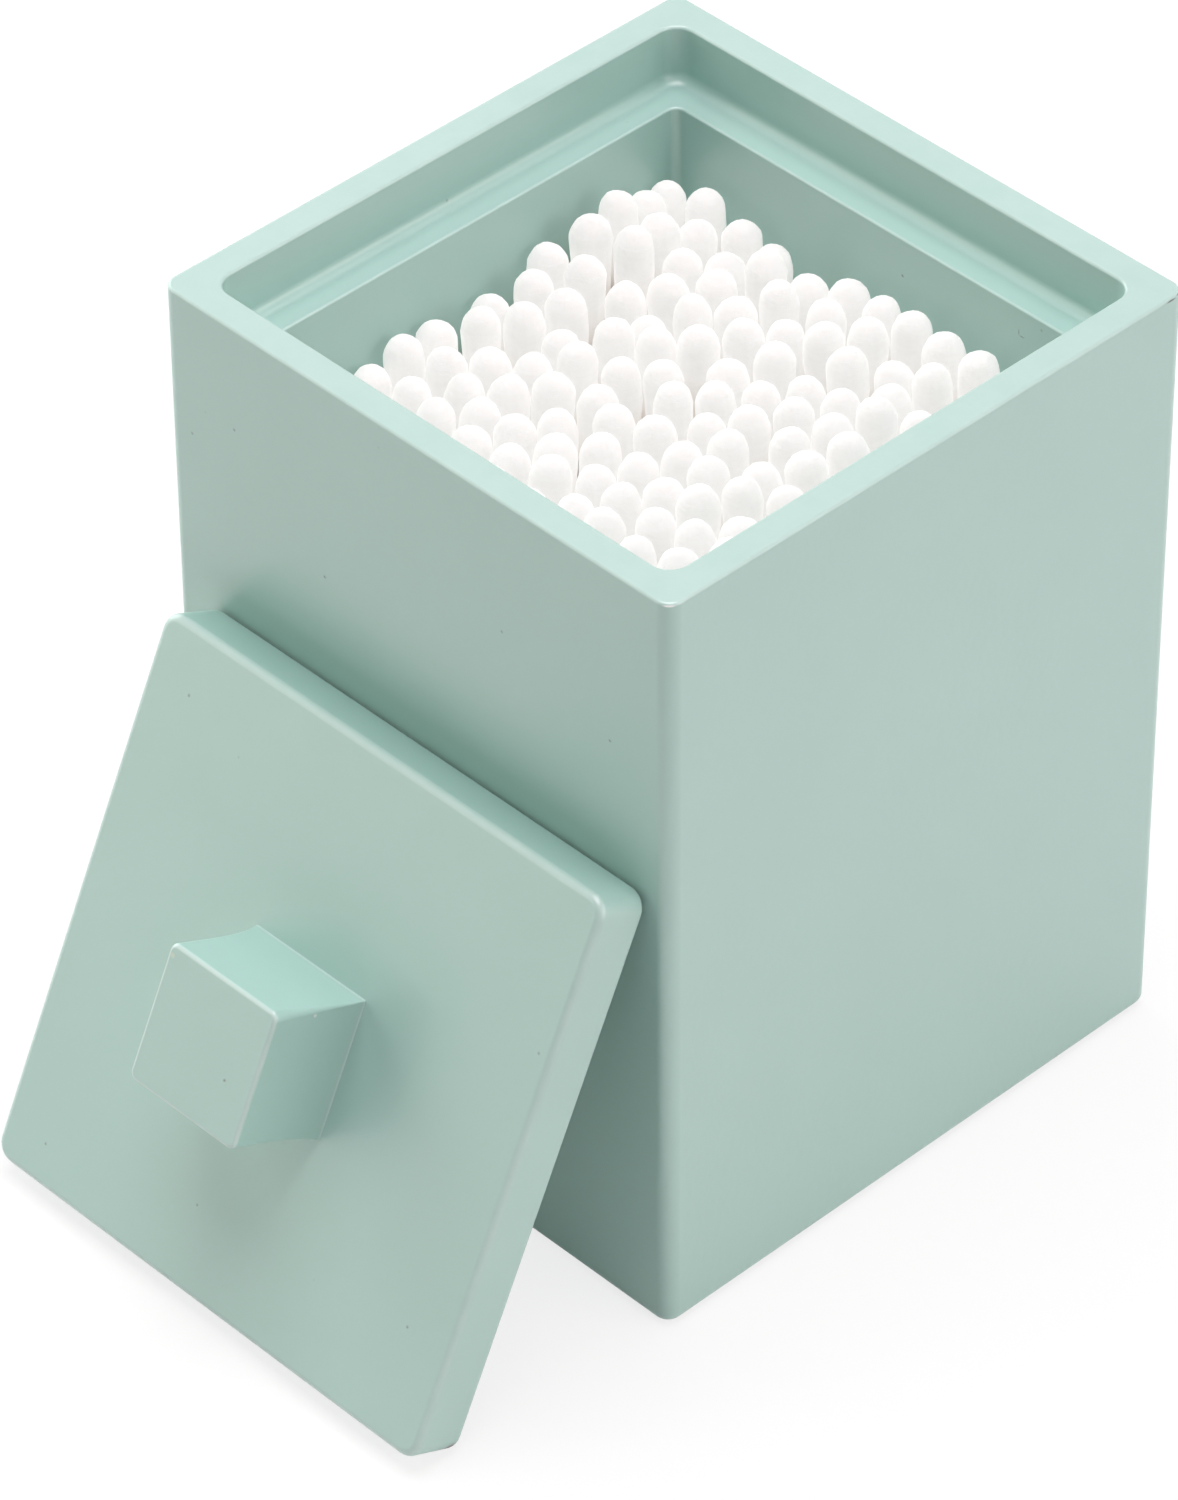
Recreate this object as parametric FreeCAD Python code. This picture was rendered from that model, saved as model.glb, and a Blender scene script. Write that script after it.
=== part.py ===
import FreeCAD, Part
import math
import os
import random

# Square lacquered jar for cotton swabs, in millimetres, +Z up.
# The origin is the middle of the face that the jar stands on. The front of the jar is -Y.
# The lid is off the jar and leans against its front, as it is put down while the jar is open.

# Jar body
jar_side = 80.0
jar_height = 105.5
rim_wall = 4.1
recess_depth = 7.6
ledge_width = 4.2
floor_thickness = 12.0
jar_corner_radius = 2.0
recess_corner_radius = 2.6
chamber_corner_radius = 1.2
rim_edge_bevel = 0.4
ledge_edge_bevel = 0.3
foot_edge_radius = 1.4

# Pad under the jar, let into a shallow pocket
pad_inset = 4.0
pad_thickness = 1.2
pad_proud = 0.4
pad_clearance = 0.3
pad_corner_radius = 1.5

# Lid and the way it leans
lid_clearance = 0.4
lid_thickness = 7.5
lid_corner_radius = 2.5
lid_edge_radius = 1.0
lid_lean_degrees = 25.3
lid_sideways = 1.8
lid_gap_to_jar = 0.25

# Knob in the middle of the lid
knob_foot_side = 17.9
knob_waist_side = 16.9
knob_top_side = 17.4
knob_height = 14.0
knob_waist_height = 6.0
knob_edge_bevel = 0.4

# Countersunk screw that holds the knob from under the lid
screw_radius = 1.75
screw_head_radius = 3.5
screw_length = 16.0
screw_hole_clearance = 0.15
screw_tip_clearance = 1.0
driver_slot_width = 0.9
driver_slot_length = 3.6
driver_slot_depth = 1.0

# Cotton swabs, standing in rows that run along X
swab_length = 76.0
stick_radius = 1.2
tip_radius = 2.4
tip_length = 13.0
tip_crown_height = 3.2
tip_crown_radius = 1.1
swab_sides = 6
swab_rows = 13
swabs_per_row = 11
swab_spacing = 0.25
swab_wall_gap = 0.4
swab_wander = 2.6
swab_lift_range = 3.6
heap_x = -25.0
heap_y = 15.0
heap_height = 6.0
heap_reach = 6.0
swab_settling_steps = 80
swab_seed = 20

# Sizes that follow from the ones above
recess_side = jar_side - 2 * rim_wall
chamber_side = recess_side - 2 * ledge_width
body_foot_z = pad_proud
chamber_floor_z = body_foot_z + floor_thickness
seat_z = jar_height - recess_depth
seat_cove_radius = lid_edge_radius + lid_clearance
lid_side = recess_side - 2 * lid_clearance
pad_side = jar_side - 2 * pad_inset
pad_pocket_depth = pad_thickness - pad_proud


def rounded_block(side, base_z, height, corner_radius):
    """A square block centred on the Z axis, with its four upright edges rounded."""
    corner = FreeCAD.Vector(-side / 2, -side / 2, base_z)
    block = Part.makeBox(side, side, height, corner)
    upright = [edge for edge in block.Edges if edge.BoundBox.ZLength > height / 2]
    return block.makeFillet(corner_radius, upright)


def loop_edges(shape, z, side):
    """The edges at height z that run round a square of the given side."""
    tolerance = 1e-4
    found = []
    for edge in shape.Edges:
        box = edge.BoundBox
        reach = max(abs(box.XMin), abs(box.XMax), abs(box.YMin), abs(box.YMax))
        level = abs(box.ZMin - z) < tolerance and abs(box.ZMax - z) < tolerance
        if level and abs(reach - side / 2) < tolerance:
            found.append(edge)
    return found


def round_loop(shape, z, side, radius):
    return shape.makeFillet(radius, loop_edges(shape, z, side))


def bevel_loop(shape, z, side, size):
    return shape.makeChamfer(size, loop_edges(shape, z, side))


def jar_body():
    """A cast pot: a chamber for the swabs, with a wider recess above it for the lid."""
    body = rounded_block(jar_side, body_foot_z, jar_height - body_foot_z, jar_corner_radius)
    recess = rounded_block(recess_side, seat_z, recess_depth, recess_corner_radius)
    chamber_depth = seat_z - chamber_floor_z
    chamber = rounded_block(chamber_side, chamber_floor_z, chamber_depth, chamber_corner_radius)
    pocket_side = pad_side + 2 * pad_clearance
    pocket_radius = pad_corner_radius + pad_clearance
    pocket = rounded_block(pocket_side, body_foot_z, pad_pocket_depth, pocket_radius)
    body = body.cut(recess).cut(chamber).cut(pocket)
    body = round_loop(body, seat_z, recess_side, seat_cove_radius)
    body = round_loop(body, body_foot_z, jar_side, foot_edge_radius)
    body = bevel_loop(body, seat_z, chamber_side, ledge_edge_bevel)
    body = bevel_loop(body, jar_height, jar_side, rim_edge_bevel)
    return bevel_loop(body, jar_height, recess_side, rim_edge_bevel)


def base_pad():
    """A thin non-slip sheet that the jar stands on."""
    return rounded_block(pad_side, 0, pad_thickness, pad_corner_radius)


def lean(shape):
    """Takes a piece of the lid from lying flat at the origin to leaning on the jar's front."""
    turn = math.radians(90 - lid_lean_degrees)
    edge_y = lid_side / 2 - lid_edge_radius
    foot_z = -edge_y * math.sin(turn) + lid_edge_radius * math.cos(turn)
    head_y = edge_y * math.cos(turn) - lid_edge_radius * math.sin(turn)
    front_y = -jar_side / 2 - lid_gap_to_jar
    moved = shape.copy()
    moved.rotate(FreeCAD.Vector(0, 0, 0), FreeCAD.Vector(1, 0, 0), 90 - lid_lean_degrees)
    shift_y = front_y - lid_edge_radius - head_y
    moved.translate(FreeCAD.Vector(lid_sideways, shift_y, lid_edge_radius - foot_z))
    return moved


def lid_panel():
    """A thick slab with soft edges that drops into the jar's recess."""
    panel = rounded_block(lid_side, 0, lid_thickness, lid_corner_radius)
    panel = round_loop(panel, 0, lid_side, lid_edge_radius)
    panel = round_loop(panel, lid_thickness, lid_side, lid_edge_radius)
    hole = Part.makeCylinder(screw_radius + screw_hole_clearance, lid_thickness)
    return panel.cut(hole).cut(countersink())


def countersink():
    return Part.makeCone(screw_head_radius, 0, screw_head_radius)


def hollowed_profile(axis_turn):
    """A block as wide as the knob, with two opposite sides hollowed along an arc."""
    foot = knob_foot_side / 2
    waist = knob_waist_side / 2
    top = knob_top_side / 2
    reach = max(foot, top)
    right_side = Part.Arc(
        FreeCAD.Vector(foot, -reach, 0),
        FreeCAD.Vector(waist, -reach, knob_waist_height),
        FreeCAD.Vector(top, -reach, knob_height),
    ).toShape()
    left_side = Part.Arc(
        FreeCAD.Vector(-top, -reach, knob_height),
        FreeCAD.Vector(-waist, -reach, knob_waist_height),
        FreeCAD.Vector(-foot, -reach, 0),
    ).toShape()
    top_line = Part.makeLine(right_side.Vertexes[-1].Point, left_side.Vertexes[0].Point)
    foot_line = Part.makeLine(left_side.Vertexes[-1].Point, right_side.Vertexes[0].Point)
    outline = Part.Wire([right_side, top_line, left_side, foot_line])
    block = Part.Face(outline).extrude(FreeCAD.Vector(0, 2 * reach, 0))
    block.rotate(FreeCAD.Vector(0, 0, 0), FreeCAD.Vector(0, 0, 1), axis_turn)
    return block


def lid_knob():
    """A square knob, hollowed on all four sides so that it flares at its foot and its top."""
    knob = hollowed_profile(0).common(hollowed_profile(90))
    knob = bevel_loop(knob, knob_height, knob_top_side, knob_edge_bevel)
    depth = screw_length - lid_thickness + screw_tip_clearance
    hole = Part.makeCylinder(screw_radius + screw_hole_clearance, depth)
    knob = knob.cut(hole)
    knob.translate(FreeCAD.Vector(0, 0, lid_thickness))
    return knob


def knob_screw():
    """A countersunk screw, flush with the lid's underside, with a cross for the driver."""
    shank = Part.makeCylinder(screw_radius, screw_length)
    screw = shank.fuse(countersink()).removeSplitter()
    for turn in (0, 90):
        corner = FreeCAD.Vector(-driver_slot_length / 2, -driver_slot_width / 2, 0)
        slot = Part.makeBox(driver_slot_length, driver_slot_width, driver_slot_depth, corner)
        slot.rotate(FreeCAD.Vector(0, 0, 0), FreeCAD.Vector(0, 0, 1), turn)
        screw = screw.cut(slot)
    return screw


def swab():
    """One swab on its end: a paper stick with a cotton tip wound on each end."""
    crown_z = swab_length - tip_crown_height
    lower = [(0, tip_radius), (tip_length, stick_radius)]
    upper = [(swab_length - tip_length, stick_radius), (crown_z, tip_radius)]
    upper.append((swab_length, tip_crown_radius))
    rings = [ring(z, radius) for z, radius in lower + upper]
    faces = [flat_face(rings[0]), flat_face(rings[-1])]
    for below, above in zip(rings, rings[1:]):
        for i in range(swab_sides):
            j = (i + 1) % swab_sides
            faces.append(flat_face([below[i], below[j], above[j], above[i]]))
    return Part.Solid(Part.Shell(faces))


def ring(z, radius):
    turns = [2 * math.pi * i / swab_sides for i in range(swab_sides)]
    return [FreeCAD.Vector(radius * math.cos(t), radius * math.sin(t), z) for t in turns]


def flat_face(points):
    return Part.Face(Part.makePolygon(points + points[:1]))


def settle(spots, limit):
    """Pushes swab ends apart until each has room, inside a square that reaches to limit."""
    room = 2 * tip_radius + swab_spacing
    for _ in range(swab_settling_steps):
        for i, first in enumerate(spots):
            for second in spots[i + 1:]:
                dx = second[0] - first[0]
                dy = second[1] - first[1]
                distance = math.hypot(dx, dy)
                if distance < room:
                    push = (room - distance) / 2 / distance
                    first[0] -= dx * push
                    first[1] -= dy * push
                    second[0] += dx * push
                    second[1] += dy * push
        for spot in spots:
            spot[0] = min(max(spot[0], -limit), limit)
            spot[1] = min(max(spot[1], -limit), limit)
    return spots


def swab_spots(source):
    """Where the ends of the swabs stand: rows of evenly spread spots that wander a little."""
    limit = chamber_side / 2 - swab_wall_gap - tip_radius
    pitch_x = 2 * limit / (swabs_per_row - 0.5)
    pitch_y = 2 * limit / (swab_rows - 1)
    spots = []
    for row in range(swab_rows):
        for place in range(swabs_per_row):
            x = -limit + pitch_x * (place + row % 2 / 2)
            y = -limit + pitch_y * row
            x += source.uniform(-swab_wander, swab_wander)
            y += source.uniform(-swab_wander, swab_wander)
            spots.append([x, y])
    return settle(spots, limit)


def swab_pack():
    """The swabs, row by row. The tight pack holds some of them up off the floor."""
    source = random.Random(swab_seed)
    feet = swab_spots(source)
    heads = swab_spots(source)
    rows = [[] for _ in range(swab_rows)]
    for i, (foot, head) in enumerate(zip(feet, heads)):
        rise = swab_lift_range * source.random() * (1.5 + head[1] / chamber_side) / 2
        from_heap = math.hypot(head[0] - heap_x, head[1] - heap_y)
        rise += heap_height * math.exp(-(from_heap / heap_reach) ** 2)
        start = FreeCAD.Vector(foot[0], foot[1], 0)
        axis = FreeCAD.Vector(head[0], head[1], swab_length) - start
        standing = swab()
        turn = FreeCAD.Rotation(FreeCAD.Vector(0, 0, 1), axis)
        standing.Placement = FreeCAD.Placement(start, turn)
        lowest = standing.BoundBox.ZMin
        standing.translate(FreeCAD.Vector(0, 0, chamber_floor_z - lowest + rise))
        rows[i // swabs_per_row].append(standing)
    return [Part.makeCompound(row) for row in rows]


def build():
    os.makedirs("parts", exist_ok=True)
    nodes = {
        "jar_body": jar_body(),
        "base_pad": base_pad(),
        "lid_panel": lean(lid_panel()),
        "lid_knob": lean(lid_knob()),
        "knob_screw": lean(knob_screw()),
    }
    for number, row in enumerate(swab_pack(), start=1):
        nodes[f"swab_row_{number:02d}"] = row
    for name, shape in nodes.items():
        shape.exportStep(f"parts/{name}.step")
        print(name, shape.isValid(), len(shape.Solids), round(shape.Volume, 1))


build()
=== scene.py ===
import math

import bmesh
import bpy
from mathutils import Matrix, Vector


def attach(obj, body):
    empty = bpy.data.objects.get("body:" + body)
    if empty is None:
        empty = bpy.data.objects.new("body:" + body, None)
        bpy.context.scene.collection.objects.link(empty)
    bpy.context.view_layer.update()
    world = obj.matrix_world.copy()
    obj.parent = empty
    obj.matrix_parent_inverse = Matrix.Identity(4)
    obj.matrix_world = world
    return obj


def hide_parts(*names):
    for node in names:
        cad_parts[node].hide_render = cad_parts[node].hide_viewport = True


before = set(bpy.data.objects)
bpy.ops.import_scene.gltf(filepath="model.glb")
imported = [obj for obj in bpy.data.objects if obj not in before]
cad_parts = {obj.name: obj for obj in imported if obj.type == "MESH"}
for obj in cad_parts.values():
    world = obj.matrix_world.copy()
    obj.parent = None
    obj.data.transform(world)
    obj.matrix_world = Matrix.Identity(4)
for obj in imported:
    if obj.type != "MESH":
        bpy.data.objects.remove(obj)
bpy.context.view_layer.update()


# Jar body
# A square pot, cast in one piece and sprayed with satin lacquer. Its mouth has a wider
# recess that takes the lid, and a shallow pocket underneath takes the pad.

MILLIMETRE = 0.001

jar_half = 40.0
jar_top_z = 105.5
jar_foot_z = 0.4
jar_corner = 2.0
rim_edge_radius = 0.4
# The rim's flat top and both its edges are painted pale: abrasion on the edges, and painted sheen
# on the top.
rim_abrasion_and_sheen = 1.0
foot_edge_radius = 1.4
recess_half = 35.9
recess_corner = 2.6
ledge_z = 97.9
ledge_cove_radius = 1.4
chamber_half = 31.7
chamber_corner = 1.2
chamber_floor_z = 12.4
chamber_edge_radius = 0.3
chamber_cove_radius = 1.0
pocket_half = 36.3
pocket_corner = 1.8
pocket_ceiling_z = 1.2
corner_steps = 8
crease_angle = 40.0


def square_ring(half, corner, z):
    """Points in millimetres round a square with rounded corners, against the clock."""
    centre = half - corner
    ring = []
    for quarter in range(4):
        start = quarter * math.pi / 2
        across = centre if quarter in (0, 3) else -centre
        along = centre if quarter in (0, 1) else -centre
        for step in range(corner_steps + 1):
            turn = start + step / corner_steps * math.pi / 2
            x = across + corner * math.cos(turn)
            y = along + corner * math.sin(turn)
            ring.append((x, y, z))
    return ring


def rounding(half, z, radius, start, end, corner_centre, steps=5):
    """Rings that follow an arc round (half, z), from one angle to another in degrees. They are
    paled most in the middle of the arc, for abrasion and for painted sheen on the edge."""
    rings = []
    for step in range(steps + 1):
        turn = math.radians(start + (end - start) * step / steps)
        reach = half + radius * math.cos(turn)
        abrasion_and_sheen_amount = math.sin(math.pi * step / steps)
        level = z + radius * math.sin(turn)
        rings.append((square_ring(reach, reach - corner_centre, level), abrasion_and_sheen_amount))
    return rings


def skin(rings, joined=False):
    """A closed mesh over rings of points in millimetres, each with how pale its lacquer is, for
    abrasion and painted sheen. Its ends are capped, or joined to each other."""
    mesh = bmesh.new()
    abrasion_and_sheen_layer = mesh.verts.layers.float.new("abrasion_and_sheen")
    loops = []
    for points, abrasion_and_sheen_amount in rings:
        loop = [mesh.verts.new([MILLIMETRE * value for value in point]) for point in points]
        for vertex in loop:
            vertex[abrasion_and_sheen_layer] = abrasion_and_sheen_amount
        loops.append(loop)
    pairs = list(zip(loops, loops[1:]))
    if joined:
        pairs.append((loops[-1], loops[0]))
    else:
        mesh.faces.new(loops[0])
        mesh.faces.new(loops[-1])
    for below, above in pairs:
        for i in range(len(below)):
            j = (i + 1) % len(below)
            mesh.faces.new((below[i], below[j], above[j], above[i]))
    bmesh.ops.recalc_face_normals(mesh, faces=mesh.faces)
    return mesh


def piece_from(mesh, name, material, place=None):
    """A finished piece: smooth over its roundings, sharp where two faces meet squarely."""
    if place is not None:
        mesh.transform(place)
    data = bpy.data.meshes.new(name)
    mesh.to_mesh(data)
    mesh.free()
    data.materials.append(material)
    data.shade_smooth()
    data.set_sharp_from_angle(angle=math.radians(crease_angle))
    piece = bpy.data.objects.new(name, data)
    bpy.context.scene.collection.objects.link(piece)
    flat_faces_first = piece.modifiers.new("Flat faces stay flat", "WEIGHTED_NORMAL")
    flat_faces_first.keep_sharp = True
    return piece


def add_node(tree, kind, inputs=None, **settings):
    """A node with its settings, whose inputs are given as values or as sockets to link."""
    node = tree.nodes.new(kind)
    for setting, value in settings.items():
        setattr(node, setting, value)
    for name, value in (inputs or {}).items():
        if isinstance(value, bpy.types.NodeSocket):
            tree.links.new(value, node.inputs[name])
        else:
            node.inputs[name].default_value = value
    return node


def mixed_colour(tree, share, first, second):
    """The colour that lies between two others, as a socket."""
    blend = add_node(tree, "ShaderNodeMix", {0: share, 6: first, 7: second}, data_type="RGBA")
    return blend.outputs[2]


def start_material(name):
    """A new material, as (material, tree, surface shader, place on the object)."""
    material = bpy.data.materials.new(name)
    material.use_nodes = True
    tree = material.node_tree
    coordinates = add_node(tree, "ShaderNodeTexCoord")
    return material, tree, tree.nodes["Principled BSDF"], coordinates.outputs["Object"]


def add_relief(tree, height, strength, distance):
    """Fine relief that only tilts the light. The distance is its depth in metres."""
    relief = add_node(tree, "ShaderNodeBump", {
        "Height": height, "Strength": strength, "Distance": distance})
    tree.links.new(relief.outputs["Normal"], tree.nodes["Principled BSDF"].inputs["Normal"])


def start_group(name, inputs, outputs):
    """A shader group with its sockets, as (tree, what comes in, where results go)."""
    tree = bpy.data.node_groups.new(name, "ShaderNodeTree")
    kinds = {"colour": "NodeSocketColor", "value": "NodeSocketFloat", "vector": "NodeSocketVector"}
    for socket, kind in inputs.items():
        tree.interface.new_socket(socket, in_out="INPUT", socket_type=kinds[kind])
    for socket, kind in outputs.items():
        tree.interface.new_socket(socket, in_out="OUTPUT", socket_type=kinds[kind])
    return tree, tree.nodes.new("NodeGroupInput").outputs, tree.nodes.new("NodeGroupOutput")


def lacquer_film():
    """Sprayed colour: faint clouds, an even satin and the fine dimples of sprayed paint."""
    tree, given, result = start_group(
        "Lacquer film",
        {"Place": "vector", "Colour": "colour", "Cloud Depth": "value", "Satin": "value"},
        {"Colour": "colour", "Roughness": "value", "Height": "value"},
    )
    clouds = add_node(tree, "ShaderNodeTexNoise", {
        "Vector": given["Place"], "Scale": 38.0, "Detail": 3.0, "Roughness": 0.5})
    depth = add_node(tree, "ShaderNodeMath", {
        0: clouds.outputs["Fac"], 1: 0.5}, operation="SUBTRACT")
    value = add_node(tree, "ShaderNodeMath", {
        0: depth.outputs[0], 1: given["Cloud Depth"], 2: 1.0}, operation="MULTIPLY_ADD")
    shade = add_node(tree, "ShaderNodeHueSaturation", {
        "Value": value.outputs[0], "Color": given["Colour"]})
    streaks = add_node(tree, "ShaderNodeTexNoise", {
        "Vector": given["Place"], "Scale": 160.0, "Detail": 4.0, "Roughness": 0.6})
    gloss = add_node(tree, "ShaderNodeMath", {
        0: streaks.outputs["Fac"], 1: 0.08, 2: given["Satin"]}, operation="MULTIPLY_ADD")
    dimples = add_node(tree, "ShaderNodeTexNoise", {
        "Vector": given["Place"], "Scale": 900.0, "Detail": 1.0, "Roughness": 0.4})
    waves = add_node(tree, "ShaderNodeTexNoise", {
        "Vector": given["Place"], "Scale": 120.0, "Detail": 1.0})
    height = add_node(tree, "ShaderNodeMath", {
        0: waves.outputs["Fac"], 1: 3.0, 2: dimples.outputs["Fac"]}, operation="MULTIPLY_ADD")
    tree.links.new(shade.outputs["Color"], result.inputs["Colour"])
    tree.links.new(gloss.outputs[0], result.inputs["Roughness"])
    tree.links.new(height.outputs[0], result.inputs["Height"])
    return tree


def paint_specks():
    """Pinholes and dust nibs: a few cells of a scatter hold a dot, and the rest are clean."""
    tree, given, result = start_group(
        "Paint specks",
        {"Place": "vector", "Spacing": "value", "Size": "value", "Share": "value"},
        {"Speck": "value"},
    )
    cells = add_node(tree, "ShaderNodeTexVoronoi", {
        "Vector": given["Place"], "Scale": given["Spacing"]})
    chosen = add_node(tree, "ShaderNodeSeparateColor", {"Color": cells.outputs["Color"]})
    keep = add_node(tree, "ShaderNodeMath", {
        0: chosen.outputs["Red"], 1: given["Share"]}, operation="LESS_THAN")
    dot = add_node(tree, "ShaderNodeMapRange", {
        "Value": cells.outputs["Distance"], "From Min": 0.0, "From Max": given["Size"],
        "To Min": 1.0, "To Max": 0.0}, interpolation_type="SMOOTHSTEP")
    speck = add_node(tree, "ShaderNodeMath", {
        0: dot.outputs["Result"], 1: keep.outputs[0]}, operation="MULTIPLY")
    tree.links.new(speck.outputs[0], result.inputs["Speck"])
    return tree


def abraded_and_sheened_edges():
    """Lacquer pulls thin over an edge and gets abraded there, so the colour gets paler; the same
    paling also paints the sheen that edges and the rim top catch from the lamps.
    """
    tree, given, result = start_group(
        "Abraded and sheened edges",
        {"Place": "vector", "Colour": "colour", "Edge Colour": "colour", "Abrasion And Sheen": "value",
         "Amount": "value"},
        {"Colour": "colour"},
    )
    patches = add_node(tree, "ShaderNodeTexNoise", {
        "Vector": given["Place"], "Scale": 260.0, "Detail": 3.0})
    spread = add_node(tree, "ShaderNodeMapRange", {
        "Value": patches.outputs["Fac"], "From Min": 0.3, "From Max": 0.7, "To Min": 0.6})
    abraded_and_sheened = add_node(tree, "ShaderNodeMath", {
        0: given["Abrasion And Sheen"], 1: spread.outputs["Result"]}, operation="MULTIPLY")
    amount = add_node(tree, "ShaderNodeMath", {
        0: abraded_and_sheened.outputs[0], 1: given["Amount"]}, operation="MULTIPLY")
    paler = mixed_colour(tree, amount.outputs[0], given["Colour"], given["Edge Colour"])
    tree.links.new(paler, result.inputs["Colour"])
    return tree


def single_mark():
    """How much of a single mark is here: 1 in its middle and 0 beyond its reach."""
    tree, given, result = start_group(
        "Single mark", {"Point": "vector", "Middle": "vector", "Reach": "vector"},
        {"Amount": "value"})
    offset = add_node(tree, "ShaderNodeVectorMath", {
        0: given["Point"], 1: given["Middle"]}, operation="SUBTRACT")
    share = add_node(tree, "ShaderNodeVectorMath", {
        0: offset.outputs[0], 1: given["Reach"]}, operation="DIVIDE")
    distance = add_node(tree, "ShaderNodeVectorMath", {0: share.outputs[0]}, operation="LENGTH")
    amount = add_node(tree, "ShaderNodeMapRange", {
        "Value": distance.outputs["Value"], "From Min": 0.3, "From Max": 1.0,
        "To Min": 1.0, "To Max": 0.0}, interpolation_type="SMOOTHSTEP")
    tree.links.new(amount.outputs["Result"], result.inputs["Amount"])
    return tree


lacquer_colour = (0.322, 0.508, 0.458, 1.0)
# Paler lacquer for abraded edges; the same colour also paints sheen on the edges and the rim top.
edge_colour = (0.56, 0.64, 0.62, 1.0)
speck_colour = (0.16, 0.22, 0.19, 1.0)
film_group = lacquer_film()
speck_group = paint_specks()
edge_group = abraded_and_sheened_edges()
mark_group = single_mark()


def lacquer(name, satin, edge_amount, speck_share, shift, marks):
    """The jar's lacquer. The shift gives each piece its own clouds and specks. A mark is a
    middle and a reach in millimetres, a colour, and how far it stands up."""
    material, tree, surface, point = start_material(name)
    moved = add_node(tree, "ShaderNodeMapping", {"Vector": point, "Location": shift})
    place = moved.outputs["Vector"]
    film = add_node(tree, "ShaderNodeGroup", {
        "Place": place, "Colour": lacquer_colour, "Cloud Depth": 0.07, "Satin": satin},
        node_tree=film_group)
    # How pale each place is: abrasion on edges, and painted sheen on edges and the rim top.
    abrasion_and_sheen_amount = add_node(tree, "ShaderNodeAttribute", attribute_name="abrasion_and_sheen")
    edges = add_node(tree, "ShaderNodeGroup", {
        "Place": place, "Colour": film.outputs["Colour"], "Edge Colour": edge_colour,
        "Abrasion And Sheen": abrasion_and_sheen_amount.outputs["Fac"], "Amount": edge_amount}, node_tree=edge_group)
    specks = add_node(tree, "ShaderNodeGroup", {
        "Place": place, "Spacing": 420.0, "Size": 0.13, "Share": speck_share},
        node_tree=speck_group)
    speck = specks.outputs["Speck"]
    paint = mixed_colour(tree, speck, edges.outputs["Colour"], speck_colour)
    pits = add_node(tree, "ShaderNodeMath", {
        0: speck, 1: -4.0, 2: film.outputs["Height"]}, operation="MULTIPLY_ADD")
    height = pits.outputs[0]
    for middle, reach, colour, lift in marks:
        mark = add_node(tree, "ShaderNodeGroup", {
            "Point": point, "Middle": [MILLIMETRE * value for value in middle],
            "Reach": [MILLIMETRE * value for value in reach]}, node_tree=mark_group)
        amount = mark.outputs["Amount"]
        paint = mixed_colour(tree, amount, paint, colour)
        raised = add_node(tree, "ShaderNodeMath", {
            0: amount, 1: lift, 2: height}, operation="MULTIPLY_ADD")
        height = raised.outputs[0]
    tree.links.new(paint, surface.inputs["Base Color"])
    tree.links.new(film.outputs["Roughness"], surface.inputs["Roughness"])
    add_relief(tree, height, 0.5, 0.00003)
    surface.inputs["Specular IOR Level"].default_value = 1.0
    return material


outer_centre = jar_half - jar_corner
recess_centre = recess_half - recess_corner
chamber_centre = chamber_half - chamber_corner
pocket_foot = square_ring(pocket_half, pocket_corner, jar_foot_z)
pocket_ceiling = square_ring(pocket_half, pocket_corner, pocket_ceiling_z)
jar_rings = [(pocket_ceiling, 0.0), (pocket_foot, 0.0)]
foot_z = jar_foot_z + foot_edge_radius
jar_rings += rounding(jar_half - foot_edge_radius, foot_z, foot_edge_radius, -90, 0, outer_centre)
rim_z = jar_top_z - rim_edge_radius
outer_edge = rounding(jar_half - rim_edge_radius, rim_z, rim_edge_radius, 0, 90, outer_centre)
inner_edge = rounding(recess_half + rim_edge_radius, rim_z, rim_edge_radius, 90, 180,
                      recess_centre)
# The flat top of the rim is painted pale all over like its edges, as painted sheen from the lamp
# overhead.
rim = [(ring, rim_abrasion_and_sheen) for ring, _ in outer_edge[1:] + inner_edge[:-1]]
jar_rings += outer_edge[:1] + rim + inner_edge[-1:]
jar_rings += [(ring, 0.0) for ring, _ in rounding(
    recess_half - ledge_cove_radius, ledge_z + ledge_cove_radius, ledge_cove_radius,
    0, -90, recess_centre)]
jar_rings += rounding(chamber_half + chamber_edge_radius, ledge_z - chamber_edge_radius,
                      chamber_edge_radius, 90, 180, chamber_centre)
jar_rings += [(ring, 0.0) for ring, _ in rounding(
    chamber_half - chamber_cove_radius, chamber_floor_z + chamber_cove_radius,
    chamber_cove_radius, 0, -90, chamber_centre)]

# A chip with its tail at the rim's right corner, a pale bare spot at the front corner that also
# paints a glint there, and a scratch with its hook inside the back wall.
chip_colour = (0.10, 0.13, 0.12, 1.0)
bare_spot_and_glint_colour = (0.85, 0.90, 0.88, 1.0)
scratch_colour = (0.17, 0.24, 0.21, 1.0)
jar_marks = [
    ((40.0, 37.4, 105.15), (0.5, 0.9, 0.16), chip_colour, -6.0),
    ((40.0, 38.7, 105.3), (0.5, 0.5, 0.10), chip_colour, -4.0),
    ((39.4, -39.4, 105.2), (0.9, 0.9, 0.16), bare_spot_and_glint_colour, -1.0),
    ((22.8, 31.7, 94.6), (0.10, 0.4, 0.55), scratch_colour, -2.0),
    ((23.3, 31.7, 94.2), (0.5, 0.4, 0.12), scratch_colour, -2.0),
]
jar_lacquer = lacquer(
    "Lacquer on the jar", satin=0.31, edge_amount=0.22, speck_share=0.04,
    shift=(0.0, 0.0, 0.0), marks=jar_marks)
jar_body = piece_from(skin(jar_rings), "pot", jar_lacquer)
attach(jar_body, "jar")
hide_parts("jar_body")


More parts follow.
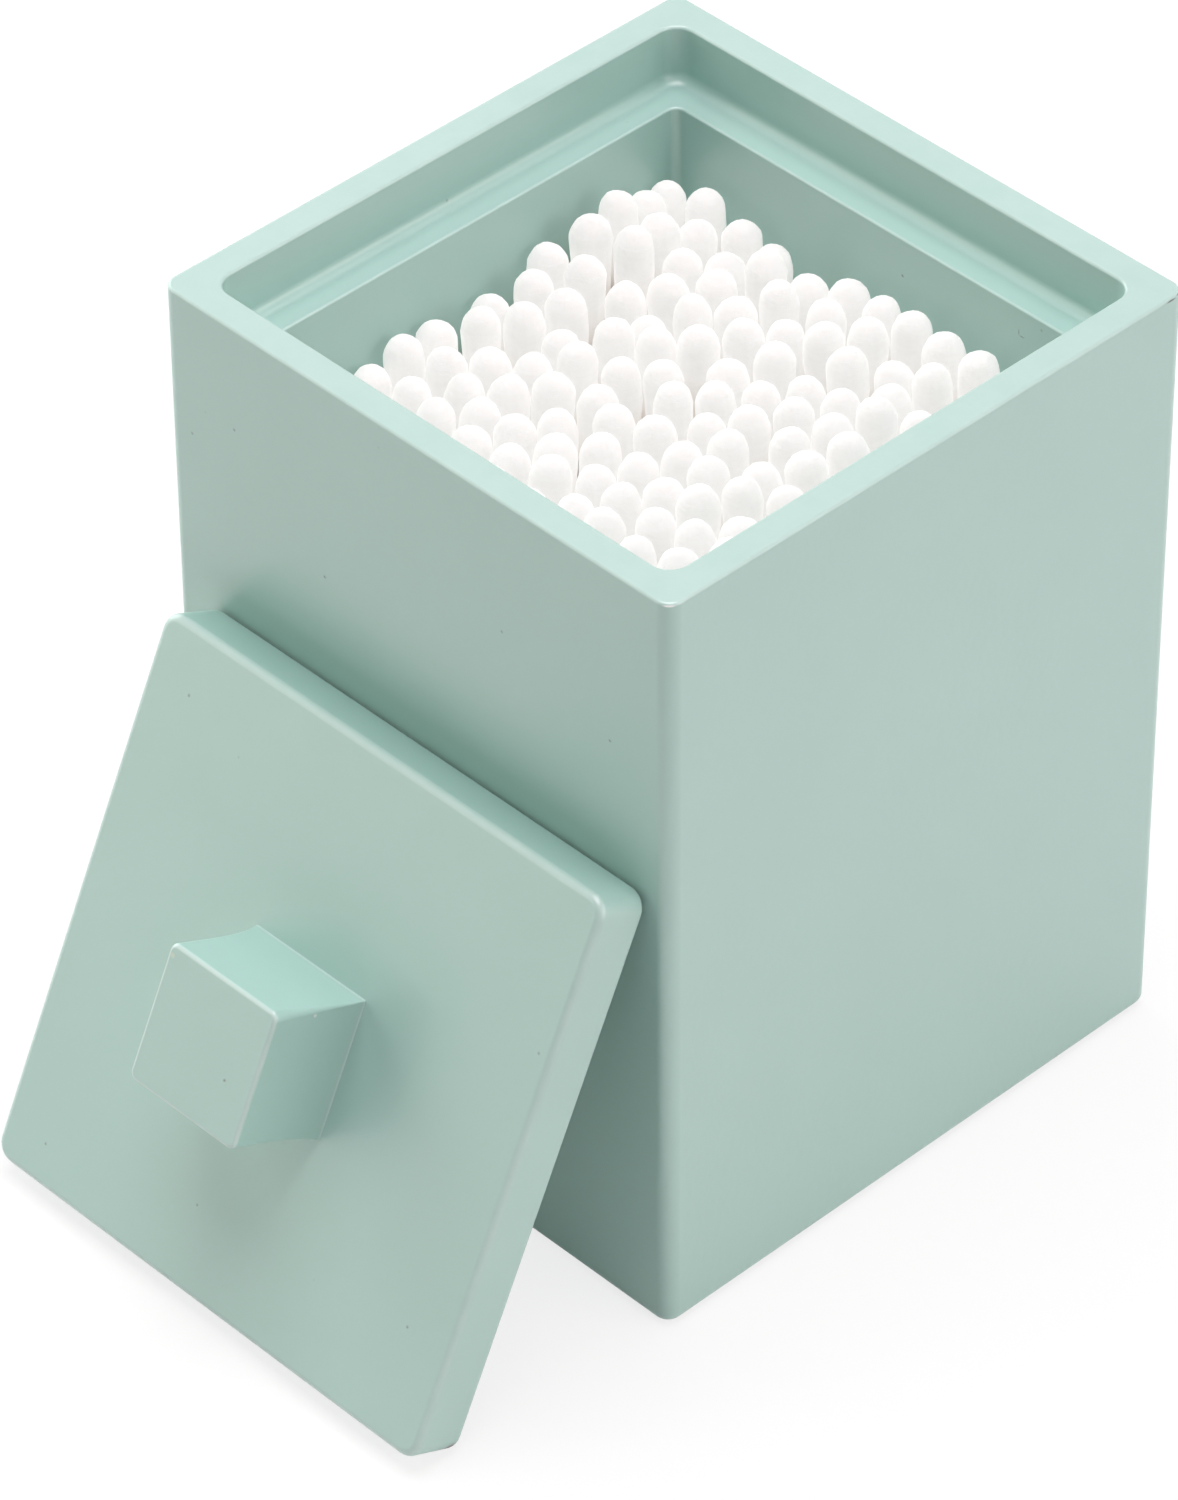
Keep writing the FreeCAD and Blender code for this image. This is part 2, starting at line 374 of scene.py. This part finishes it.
# Base pad
# A thin sheet of dark grey foam rubber with a soft cut edge, glued into the pocket under
# the jar. It stands a little proud, so that the jar doesn't scratch what it stands on.

pad_half = 36.0
pad_corner = 1.5
pad_top_z = 1.2
pad_edge_radius = 0.3


def pad_rubber():
    """Dark grey foam rubber, with open pores and dust in them."""
    material, tree, surface, point = start_material("Foam rubber of the pad")
    pores = add_node(tree, "ShaderNodeTexVoronoi", {"Vector": point, "Scale": 2600.0})
    dust = add_node(tree, "ShaderNodeTexNoise", {"Vector": point, "Scale": 90.0, "Detail": 5.0})
    shade = mixed_colour(tree, dust.outputs["Fac"],
                         (0.045, 0.047, 0.048, 1.0), (0.10, 0.102, 0.10, 1.0))
    tree.links.new(shade, surface.inputs["Base Color"])
    add_relief(tree, pores.outputs["Distance"], 0.6, 0.0002)
    surface.inputs["Roughness"].default_value = 0.85
    return material


pad_centre = pad_half - pad_corner
pad_rings = rounding(pad_half - pad_edge_radius, pad_edge_radius, pad_edge_radius, -90, 0,
                     pad_centre, steps=3)
pad_rings.append((square_ring(pad_half, pad_corner, pad_top_z), 0.0))
base_pad = piece_from(skin(pad_rings), "foot_pad", pad_rubber())
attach(base_pad, "jar")
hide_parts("base_pad")


# Cotton swabs
# Paper sticks, each with absorbent cotton wound round both ends, packed on end in the
# jar until they hold each other up. They stand where the solids of the model stand.

swab_length = 76.0
stick_radius = 1.2
tip_radius = 2.4
tip_length = 14.0
tip_dome_height = 3.0
tip_dome_bluntness = 0.85
tip_waist_radius = 1.85
tip_waist_rise = 1.6
tip_neck_radius = 1.35
tip_neck_step = 0.3
body_rings = 4
dome_rings = 7
tip_sides = 14
# Depths from a swab's end: its painted glow is strongest down to the first, and gone by the
# second.
glow_strongest_depth = 5.0
glow_gone_depth = 12.0
solid_sides = 6
weld_distance = 1e-6


def merged_islands(source):
    """The separate solids in a node's mesh, each as the places of its corners."""
    mesh = bmesh.new()
    mesh.from_mesh(source.data)
    bmesh.ops.remove_doubles(mesh, verts=mesh.verts, dist=weld_distance)
    waiting = set(mesh.verts)
    islands = []
    for first in mesh.verts:
        if first not in waiting:
            continue
        waiting.remove(first)
        reached = [first]
        island = []
        while reached:
            vertex = reached.pop()
            island.append(vertex.co.copy())
            for edge in vertex.link_edges:
                other = edge.other_vert(vertex)
                if other in waiting:
                    waiting.remove(other)
                    reached.append(other)
        islands.append(island)
    mesh.free()
    return islands


def swab_profile():
    """Rings from the middle of the stick to the crown of a tip, as (height, radius)."""
    top = swab_length / 2
    neck = top - tip_length
    shoulder = top - tip_dome_height
    waist = neck + tip_waist_rise
    profile = [(neck - tip_neck_step, stick_radius), (neck, tip_neck_radius),
               (waist, tip_waist_radius)]
    for i in range(1, body_rings):
        share = i / body_rings
        swell = math.sin(math.pi / 2 * share)
        radius = tip_waist_radius + (tip_radius - tip_waist_radius) * swell
        profile.append((waist + (shoulder - waist) * share, radius))
    for i in range(dome_rings):
        turn = math.pi / 2 * i / dome_rings
        height = shoulder + tip_dome_height * math.sin(turn)
        profile.append((height, tip_radius * math.cos(turn) ** tip_dome_bluntness))
    return profile


def one_swab():
    """A whole swab round the Z axis, with its middle at the origin. Its crown share is 1 in the
    crown of a tip and falls to 0 towards the neck, and sets how bright the cotton's painted glow
    is there."""
    upper = swab_profile()
    lower = [(-height, radius) for height, radius in reversed(upper)]
    mesh = bmesh.new()
    cotton = mesh.faces.layers.float.new("cotton")
    crown_share = mesh.verts.layers.float.new("crown_share")
    loops = []
    for height, radius in lower + upper:
        depth = swab_length / 2 - abs(height)
        in_crown = min(1, max(0, (glow_gone_depth - depth) / (glow_gone_depth - glow_strongest_depth)))
        loop = []
        for side in range(tip_sides):
            turn = 2 * math.pi * side / tip_sides
            point = (radius * math.cos(turn), radius * math.sin(turn), height)
            vertex = mesh.verts.new([MILLIMETRE * value for value in point])
            vertex[crown_share] = in_crown
            loop.append(vertex)
        loops.append(loop)
    stick_ends = MILLIMETRE * (swab_length / 2 - tip_length - tip_neck_step)
    for below, above in zip(loops, loops[1:]):
        for i in range(tip_sides):
            j = (i + 1) % tip_sides
            face = mesh.faces.new((below[i], below[j], above[j], above[i]))
            middle = abs(face.calc_center_median().z)
            face[cotton] = 1.0 if middle > stick_ends else 0.0
    for loop, height in ((loops[0], -swab_length / 2), (loops[-1], swab_length / 2)):
        crown = mesh.verts.new((0, 0, MILLIMETRE * height))
        crown[crown_share] = 1.0
        for i in range(tip_sides):
            face = mesh.faces.new((loop[i], loop[(i + 1) % tip_sides], crown))
            face[cotton] = 1.0
    bmesh.ops.recalc_face_normals(mesh, faces=mesh.faces)
    for face in mesh.faces:
        face.smooth = True
    data = bpy.data.meshes.new("One swab")
    mesh.to_mesh(data)
    mesh.free()
    swab = bpy.data.objects.new("One swab", data)
    bpy.context.scene.collection.objects.link(swab)
    return swab


def cotton_wool():
    """Wound cotton: nearly white, with soft turns of the winding and loose fibres. A painted glow
    stands in for light that wanders inside the wool: bright in the crown of a tip, dim and warm at
    the neck, which paints shade into the gaps between tips."""
    material, tree, surface, point = start_material("Wound cotton")
    squeezed = add_node(tree, "ShaderNodeMapping", {"Vector": point, "Scale": (1.0, 1.0, 3.2)})
    turns = add_node(tree, "ShaderNodeTexNoise", {
        "Vector": squeezed.outputs["Vector"], "Scale": 420.0, "Detail": 3.0, "Roughness": 0.55,
        "Distortion": 0.4})
    fibres = add_node(tree, "ShaderNodeTexNoise", {
        "Vector": squeezed.outputs["Vector"], "Scale": 3200.0, "Detail": 3.0, "Roughness": 0.7})
    crown_wool = mixed_colour(tree, turns.outputs["Fac"],
                             (0.33, 0.332, 0.33, 1.0), (0.39, 0.394, 0.394, 1.0))
    neck_wool = mixed_colour(tree, turns.outputs["Fac"],
                             (0.70, 0.69, 0.67, 1.0), (0.79, 0.78, 0.76, 1.0))
    crown_share = add_node(tree, "ShaderNodeAttribute", attribute_name="crown_share")
    wool = mixed_colour(tree, crown_share.outputs["Fac"], neck_wool, crown_wool)
    tree.links.new(wool, surface.inputs["Base Color"])
    height = add_node(tree, "ShaderNodeMath", {
        0: turns.outputs["Fac"], 1: 2.2, 2: fibres.outputs["Fac"]}, operation="MULTIPLY_ADD")
    add_relief(tree, height.outputs[0], 0.45, 0.00012)
    surface.inputs["Roughness"].default_value = 0.95
    surface.inputs["Specular IOR Level"].default_value = 0.15
    surface.inputs["Subsurface Weight"].default_value = 1.0
    surface.inputs["Subsurface Radius"].default_value = (1.0, 0.97, 0.94)
    surface.inputs["Subsurface Scale"].default_value = 0.002
    surface.inputs["Sheen Weight"].default_value = 0.25
    surface.inputs["Sheen Roughness"].default_value = 0.5
    # Painted light: the cotton glows though it is no lamp, strongly in the crown and dimly at the
    # neck, so shade is painted deep between the tips. The crown's base colour is kept dark to make
    # room for the glow.
    glow = mixed_colour(tree, crown_share.outputs["Fac"],
                        (0.30, 0.25, 0.22, 1.0), (1.0, 0.985, 0.955, 1.0))
    tree.links.new(glow, surface.inputs["Emission Color"])
    surface.inputs["Emission Strength"].default_value = 0.55
    return material


def rolled_paper():
    """Tightly rolled white paper, with the faint slant of its winding."""
    material, tree, surface, point = start_material("Rolled paper")
    grain = add_node(tree, "ShaderNodeTexNoise", {"Vector": point, "Scale": 700.0, "Detail": 4.0})
    shade = mixed_colour(tree, grain.outputs["Fac"],
                         (0.84, 0.82, 0.78, 1.0), (0.92, 0.91, 0.88, 1.0))
    tree.links.new(shade, surface.inputs["Base Color"])
    add_relief(tree, grain.outputs["Fac"], 0.3, 0.00005)
    surface.inputs["Roughness"].default_value = 0.7
    return material


def swab_pack_tree():
    """Stands one swab on each point along its axis, then gives every tip its own lumps."""
    tree = bpy.data.node_groups.new("Swab pack", "GeometryNodeTree")
    tree.is_modifier = True
    sockets = {
        "Geometry": "NodeSocketGeometry", "Swab": "NodeSocketObject",
        "Narrowest": "NodeSocketFloat", "Widest": "NodeSocketFloat",
        "Lump Depth": "NodeSocketFloat", "Lump Spacing": "NodeSocketFloat",
        "Seed": "NodeSocketInt", "Cotton": "NodeSocketMaterial",
        "Paper": "NodeSocketMaterial"}
    for name, kind in sockets.items():
        tree.interface.new_socket(name, in_out="INPUT", socket_type=kind)
    tree.interface.new_socket("Geometry", in_out="OUTPUT", socket_type="NodeSocketGeometry")
    given = tree.nodes.new("NodeGroupInput").outputs
    result = tree.nodes.new("NodeGroupOutput")
    swab = add_node(tree, "GeometryNodeObjectInfo", {"Object": given["Swab"]})
    axis = add_node(tree, "GeometryNodeInputNamedAttribute", {"Name": "axis"},
                    data_type="FLOAT_VECTOR")
    upright = add_node(tree, "FunctionNodeAlignRotationToVector", {
        "Vector": axis.outputs["Attribute"]}, axis="Z")
    spin = add_node(tree, "FunctionNodeRandomValue", {
        2: 0.0, 3: 2 * math.pi, "Seed": given["Seed"]}, data_type="FLOAT")
    spun = add_node(tree, "FunctionNodeAxisAngleToRotation", {
        "Axis": (0.0, 0.0, 1.0), "Angle": spin.outputs[1]})
    turned = add_node(tree, "FunctionNodeRotateRotation", {
        0: upright.outputs[0], 1: spun.outputs[0]}, rotation_space="LOCAL")
    width = add_node(tree, "FunctionNodeRandomValue", {
        2: given["Narrowest"], 3: given["Widest"], "Seed": given["Seed"]}, data_type="FLOAT")
    size = add_node(tree, "ShaderNodeCombineXYZ", {
        "X": width.outputs[1], "Y": width.outputs[1], "Z": 1.0})
    stood = add_node(tree, "GeometryNodeInstanceOnPoints", {
        "Points": given["Geometry"], "Instance": swab.outputs["Geometry"],
        "Rotation": turned.outputs[0], "Scale": size.outputs[0]})
    real = add_node(tree, "GeometryNodeRealizeInstances", {"Geometry": stood.outputs[0]})
    where = add_node(tree, "GeometryNodeInputPosition")
    lumps = add_node(tree, "ShaderNodeTexNoise", {
        "Vector": where.outputs[0], "Scale": given["Lump Spacing"], "Detail": 2.0})
    sideways = add_node(tree, "ShaderNodeVectorMath", {
        0: lumps.outputs["Color"], 1: (0.5, 0.5, 0.5)}, operation="SUBTRACT")
    push = add_node(tree, "ShaderNodeVectorMath", {
        0: sideways.outputs[0], "Scale": given["Lump Depth"]}, operation="SCALE")
    fluffy = add_node(tree, "GeometryNodeInputNamedAttribute", {"Name": "cotton"},
                      data_type="FLOAT")
    soft = add_node(tree, "ShaderNodeVectorMath", {
        0: push.outputs[0], "Scale": fluffy.outputs["Attribute"]}, operation="SCALE")
    lumpy = add_node(tree, "GeometryNodeSetPosition", {
        "Geometry": real.outputs[0], "Offset": soft.outputs[0]})
    is_cotton = add_node(tree, "FunctionNodeCompare", {
        0: fluffy.outputs["Attribute"], 1: 0.5}, data_type="FLOAT", operation="GREATER_THAN")
    sticks = add_node(tree, "GeometryNodeSetMaterial", {
        "Geometry": lumpy.outputs[0], "Material": given["Paper"]})
    tips = add_node(tree, "GeometryNodeSetMaterial", {
        "Geometry": sticks.outputs[0], "Selection": is_cotton.outputs[0],
        "Material": given["Cotton"]})
    tree.links.new(tips.outputs[0], result.inputs["Geometry"])
    return tree


swab_rows = sorted(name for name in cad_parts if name.startswith("swab_row"))
middles = []
axes = []
for row in swab_rows:
    for island in merged_islands(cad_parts[row]):
        corners = sorted(island, key=lambda corner: corner.z)
        foot = sum(corners[:solid_sides], Vector()) / solid_sides
        head = sum(corners[-solid_sides:], Vector()) / solid_sides
        middles.append((foot + head) / 2)
        axes.append((head - foot).normalized())

places = bpy.data.meshes.new("Where the swabs stand")
places.from_pydata(middles, [], [])
axis_values = places.attributes.new("axis", "FLOAT_VECTOR", "POINT")
for i, axis in enumerate(axes):
    axis_values.data[i].vector = axis
stand = bpy.data.objects.new("Where the swabs stand", places)
bpy.context.scene.collection.objects.link(stand)
swab_template = one_swab()
pack_tree = swab_pack_tree()
pack_inputs = {
    "Swab": swab_template, "Narrowest": 0.96, "Widest": 1.06, "Lump Depth": 0.0007,
    "Lump Spacing": 260.0, "Seed": 5, "Cotton": cotton_wool(), "Paper": rolled_paper()}
packing = stand.modifiers.new("Swab pack", "NODES")
packing.node_group = pack_tree
for item in pack_tree.interface.items_tree:
    if item.in_out == "INPUT" and item.name in pack_inputs:
        packing[item.identifier] = pack_inputs[item.name]
stand.update_tag()
bpy.context.view_layer.update()
settled = bpy.context.evaluated_depsgraph_get()
swab_mesh = bpy.data.meshes.new_from_object(stand.evaluated_get(settled))
swab_mesh.name = "swabs"
swabs = bpy.data.objects.new("swabs", swab_mesh)
bpy.context.scene.collection.objects.link(swabs)
bpy.data.objects.remove(stand)
bpy.data.objects.remove(swab_template)
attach(swabs, "swabs")
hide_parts(*swab_rows)


# Lid panel
# A thick square slab in the same lacquer, with soft edges all round. It is off the jar and
# leans on its front: its lower edge stands on the floor and its upper edge rests on the jar.

lid_half = 35.5
lid_thickness = 7.5
lid_corner = 2.5
lid_edge_radius = 1.0
lid_lean = 25.3
lid_sideways = 1.8
lid_gap_to_jar = 0.25
hole_radius = 1.9
countersink_radius = 3.5


def leaning():
    """Takes the flat lid from the origin to where it leans on the jar, in metres."""
    turn = math.radians(90 - lid_lean)
    edge = lid_half - lid_edge_radius
    foot = -edge * math.sin(turn) + lid_edge_radius * math.cos(turn)
    head = edge * math.cos(turn) - lid_edge_radius * math.sin(turn)
    back = -jar_half - lid_gap_to_jar - lid_edge_radius - head
    shift = Vector((lid_sideways, back, lid_edge_radius - foot)) * MILLIMETRE
    return Matrix.Translation(shift) @ Matrix.Rotation(turn, 4, "X")


def round_ring(like, radius, z):
    """A circle whose points lie in the same directions as those of a square ring."""
    ring = []
    for x, y, _ in like:
        reach = math.hypot(x, y)
        ring.append((radius * x / reach, radius * y / reach, z))
    return ring


lid_centre = lid_half - lid_corner
edge_half = lid_half - lid_edge_radius
lid_rings = rounding(edge_half, lid_edge_radius, lid_edge_radius, -90, 0, lid_centre, steps=6)
lid_rings += rounding(edge_half, lid_thickness - lid_edge_radius, lid_edge_radius, 0, 90,
                      lid_centre, steps=6)
outline = square_ring(edge_half, edge_half - lid_centre, 0)
sink_depth = countersink_radius - hole_radius
lid_rings += [(round_ring(outline, hole_radius, lid_thickness), 0.0),
              (round_ring(outline, hole_radius, sink_depth), 0.0),
              (round_ring(outline, countersink_radius, 0), 0.0)]
lean_place = leaning()
# A dark spot at the lowest corner, where the lid stands on it: painted contact shadow, and a
# scrape.
contact_shadow_and_scrape = lean_place @ (MILLIMETRE * Vector((34.95, -34.5, 1.2))) / MILLIMETRE
lid_marks = [(contact_shadow_and_scrape, (1.4, 1.4, 1.0), (0.13, 0.12, 0.115, 1.0), -2.0)]
lid_lacquer = lacquer(
    "Lacquer on the lid", satin=0.31, edge_amount=0.32, speck_share=0.04,
    shift=(0.31, 0.17, 0.05), marks=lid_marks)
lid_panel = piece_from(skin(lid_rings, joined=True), "lid_slab", lid_lacquer, lean_place)
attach(lid_panel, "lid")
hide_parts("lid_panel")


# Lid knob
# A square knob in the same lacquer, glued and screwed to the middle of the lid. Its sides
# are hollowed, so that it flares to a thin sharp edge where it meets the lid.

knob_foot_half = 8.95
knob_waist_half = 8.45
knob_top_half = 8.7
knob_height = 14.0
knob_foot_band = 0.2
knob_edge_radius = 0.55
knob_foot_corner = 0.15
knob_top_corner = 1.1
knob_flare_power = 6
knob_levels = 14
knob_level_crowding = 1.5
screw_hole_depth = 9.5


def hollow(height):
    """Half the knob's width at a height: wide at its foot, soon narrow, wider at its top."""
    share = height / knob_height
    flare = (knob_foot_half - knob_waist_half) * (1 - share) ** knob_flare_power
    lip = (knob_top_half - knob_waist_half) * share ** 2
    return knob_waist_half + flare + lip


knob_foot = square_ring(knob_foot_half, knob_foot_corner, lid_thickness)
foot_band = square_ring(knob_foot_half, knob_foot_corner, lid_thickness + knob_foot_band)
# The knob's foot band is painted pale along its whole length: a painted highlight line where the
# knob meets the lid.
knob_rings = [(round_ring(knob_foot, hole_radius, screw_hole_depth + lid_thickness), 0.0),
              (round_ring(knob_foot, hole_radius, lid_thickness), 0.0),
              (knob_foot, 1.0), (foot_band, 1.0)]
rise = knob_height - knob_edge_radius - 2 * knob_foot_band
for level in range(knob_levels + 1):
    share = level / knob_levels
    height = 2 * knob_foot_band + rise * share ** knob_level_crowding
    corner = knob_foot_corner + (knob_top_corner - knob_foot_corner) * share ** 2
    knob_rings.append((square_ring(hollow(height), corner, lid_thickness + height), 0.0))
edge_height = knob_height - knob_edge_radius
last_half = hollow(edge_height)
knob_rings += rounding(last_half - knob_edge_radius, lid_thickness + edge_height,
                       knob_edge_radius, 15, 90, last_half - knob_top_corner)
# A nib of dust under the lacquer on the right side, pale as thin lacquer over it and as its
# painted highlight, and a spot on top that is abraded.
nib = lean_place @ (MILLIMETRE * Vector((8.55, 7.7, 14.9))) / MILLIMETRE
rubbed_spot = lean_place @ (MILLIMETRE * Vector((-7.9, 7.2, 21.4))) / MILLIMETRE
knob_marks = [
    (nib, (0.34, 0.34, 0.34), edge_colour, 9.0),
    (rubbed_spot, (0.45, 0.45, 0.45), (0.44, 0.55, 0.44, 1.0), -1.0),
]
knob_lacquer = lacquer(
    "Lacquer on the knob", satin=0.30, edge_amount=0.5, speck_share=0.08,
    shift=(0.07, 0.43, 0.29), marks=knob_marks)
lid_knob = piece_from(skin(knob_rings), "knob", knob_lacquer, lean_place)
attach(lid_knob, "lid")
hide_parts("lid_knob")


# Knob screw
# A countersunk steel screw that comes up through the lid into the knob. Only its head with
# its cross slot shows, from under the lid, and the model's own solid is shown.

def screw_steel():
    """Zinc-plated steel, dulled unevenly by fine scratches."""
    material, tree, surface, point = start_material("Zinc-plated steel")
    scratches = add_node(tree, "ShaderNodeTexNoise", {
        "Vector": point, "Scale": 2400.0, "Detail": 4.0, "Distortion": 1.2})
    shade = mixed_colour(tree, scratches.outputs["Fac"],
                         (0.50, 0.50, 0.51, 1.0), (0.68, 0.68, 0.67, 1.0))
    tree.links.new(shade, surface.inputs["Base Color"])
    dull = add_node(tree, "ShaderNodeMapRange", {
        "Value": scratches.outputs["Fac"], "To Min": 0.25, "To Max": 0.45})
    tree.links.new(dull.outputs["Result"], surface.inputs["Roughness"])
    add_relief(tree, scratches.outputs["Fac"], 0.3, 0.00002)
    surface.inputs["Metallic"].default_value = 1.0
    return material


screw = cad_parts["knob_screw"]
screw.data.materials.clear()
screw.data.materials.append(screw_steel())


# Studio
# A pale floor that looks nearly white, one broad lamp overhead, softer ones on the left, the
# front left and the right, and a faint one behind. The camera's own side has no lamp.

floor_reach = 3.0
floor_colour = (0.90, 0.90, 0.90, 1.0)
floor_whitening = 0.78
whitening_in_gloss = 0.25
sky_level = 0.05
lamp_aim = Vector((0, 0, 0.05))


def is_seen(tree):
    """1 for rays from the camera, from gloss and through glass, and 0 for all others."""
    light = add_node(tree, "ShaderNodeLightPath")
    gloss = add_node(tree, "ShaderNodeMath", {
        0: light.outputs["Is Camera Ray"], 1: light.outputs["Is Glossy Ray"]},
        operation="ADD")
    both = add_node(tree, "ShaderNodeMath", {
        0: gloss.outputs[0], 1: light.outputs["Is Transmission Ray"]},
        operation="ADD", use_clamp=True)
    return both.outputs[0]


floor_mesh = bpy.data.meshes.new("Floor")
floor_mesh.from_pydata([
    (-floor_reach, -floor_reach, 0), (floor_reach, -floor_reach, 0),
    (floor_reach, floor_reach, 0), (-floor_reach, floor_reach, 0)], [], [(0, 1, 2, 3)])
floor_material = bpy.data.materials.new("Floor")
floor_material.use_nodes = True
floor_tree = floor_material.node_tree
floor_paint = floor_tree.nodes["Principled BSDF"]
floor_paint.inputs["Base Color"].default_value = floor_colour
floor_paint.inputs["Roughness"].default_value = 0.9
floor_paint.inputs["Specular IOR Level"].default_value = 0.1
white = add_node(floor_tree, "ShaderNodeEmission", {"Strength": 1.0})
mirrored = add_node(floor_tree, "ShaderNodeMath", {
    0: is_seen(floor_tree), 1: whitening_in_gloss}, operation="MULTIPLY")
looking = add_node(floor_tree, "ShaderNodeLightPath")
share = add_node(floor_tree, "ShaderNodeMath", {
    0: looking.outputs["Is Camera Ray"], 1: floor_whitening - whitening_in_gloss,
    2: mirrored.outputs[0]}, operation="MULTIPLY_ADD")
fade = add_node(floor_tree, "ShaderNodeMixShader", {
    0: share.outputs[0], 1: floor_paint.outputs[0], 2: white.outputs[0]})
floor_tree.links.new(fade.outputs[0], floor_tree.nodes["Material Output"].inputs["Surface"])
floor_mesh.materials.append(floor_material)
floor = bpy.data.objects.new("Floor", floor_mesh)
bpy.context.scene.collection.objects.link(floor)

world = bpy.data.worlds.new("Studio")
world.use_nodes = True
bpy.context.scene.world = world
sky = world.node_tree
dim = sky.nodes["Background"]
dim.inputs["Color"].default_value = (1.0, 1.0, 1.0, 1.0)
dim.inputs["Strength"].default_value = sky_level
plain = add_node(sky, "ShaderNodeBackground", {"Color": (1, 1, 1, 1), "Strength": 1.0})
either = add_node(sky, "ShaderNodeMixShader", {
    0: is_seen(sky), 1: dim.outputs[0], 2: plain.outputs[0]})
sky.links.new(either.outputs[0], sky.nodes["World Output"].inputs["Surface"])


def lamp(name, azimuth, elevation, distance, side, power, colour):
    """A square lamp that looks at the jar. Azimuth 0 is the front, and 90 the right. Distance
    and side are in metres, and power in watts."""
    light = bpy.data.lights.new(name, "AREA")
    light.shape = "SQUARE"
    light.size = side
    light.energy = power
    light.color = colour
    a, e = math.radians(azimuth), math.radians(elevation)
    out = Vector((math.sin(a) * math.cos(e), -math.cos(a) * math.cos(e), math.sin(e)))
    holder = bpy.data.objects.new(name, light)
    holder.location = out * distance + lamp_aim
    holder.rotation_mode = "QUATERNION"
    holder.rotation_quaternion = out.to_track_quat("Z", "Y")
    bpy.context.scene.collection.objects.link(holder)


lamp("Overhead", azimuth=0, elevation=90, distance=1.2, side=0.9, power=15.6,
     colour=(1.0, 0.915, 0.95))
lamp("Left", azimuth=-92, elevation=20, distance=1.2, side=1.0, power=9.4,
     colour=(0.97, 1.0, 0.99))
lamp("Front left", azimuth=-45, elevation=20, distance=1.2, side=0.9, power=4.3,
     colour=(1.0, 0.90, 0.79))
lamp("Right", azimuth=104, elevation=22, distance=1.6, side=1.2, power=14.7,
     colour=(1.0, 0.88, 0.87))
lamp("Behind", azimuth=180, elevation=20, distance=1.2, side=0.9, power=1.8,
     colour=(1.0, 0.92, 0.90))

camera_azimuth = 46.17
camera_elevation = 40.11
camera_roll = -0.39
camera_distance = 0.8997
camera_height = 0.03871
camera_sideways = -0.00962
camera_lens = 186.7

lens = bpy.data.cameras.new("Camera")
lens.lens = camera_lens
lens.sensor_width = 36.0
lens.clip_start = 0.05
lens.clip_end = 20.0
camera = bpy.data.objects.new("Camera", lens)
bpy.context.scene.collection.objects.link(camera)
around = math.radians(camera_azimuth)
raised = math.radians(camera_elevation)
back = Vector((math.sin(around) * math.cos(raised), -math.cos(around) * math.cos(raised),
               math.sin(raised)))
right = Vector((math.cos(around), math.sin(around), 0))
up = back.cross(right)
roll = math.radians(camera_roll)
rolled_right = right * math.cos(roll) + up * math.sin(roll)
rolled_up = up * math.cos(roll) - right * math.sin(roll)
turn = Matrix((rolled_right, rolled_up, back)).transposed()
camera.rotation_mode = "QUATERNION"
camera.rotation_quaternion = turn.to_quaternion()
camera.location = back * camera_distance + right * camera_sideways + Vector((0, 0, camera_height))
bpy.context.scene.camera = camera
bpy.context.scene.view_settings.view_transform = "Standard"
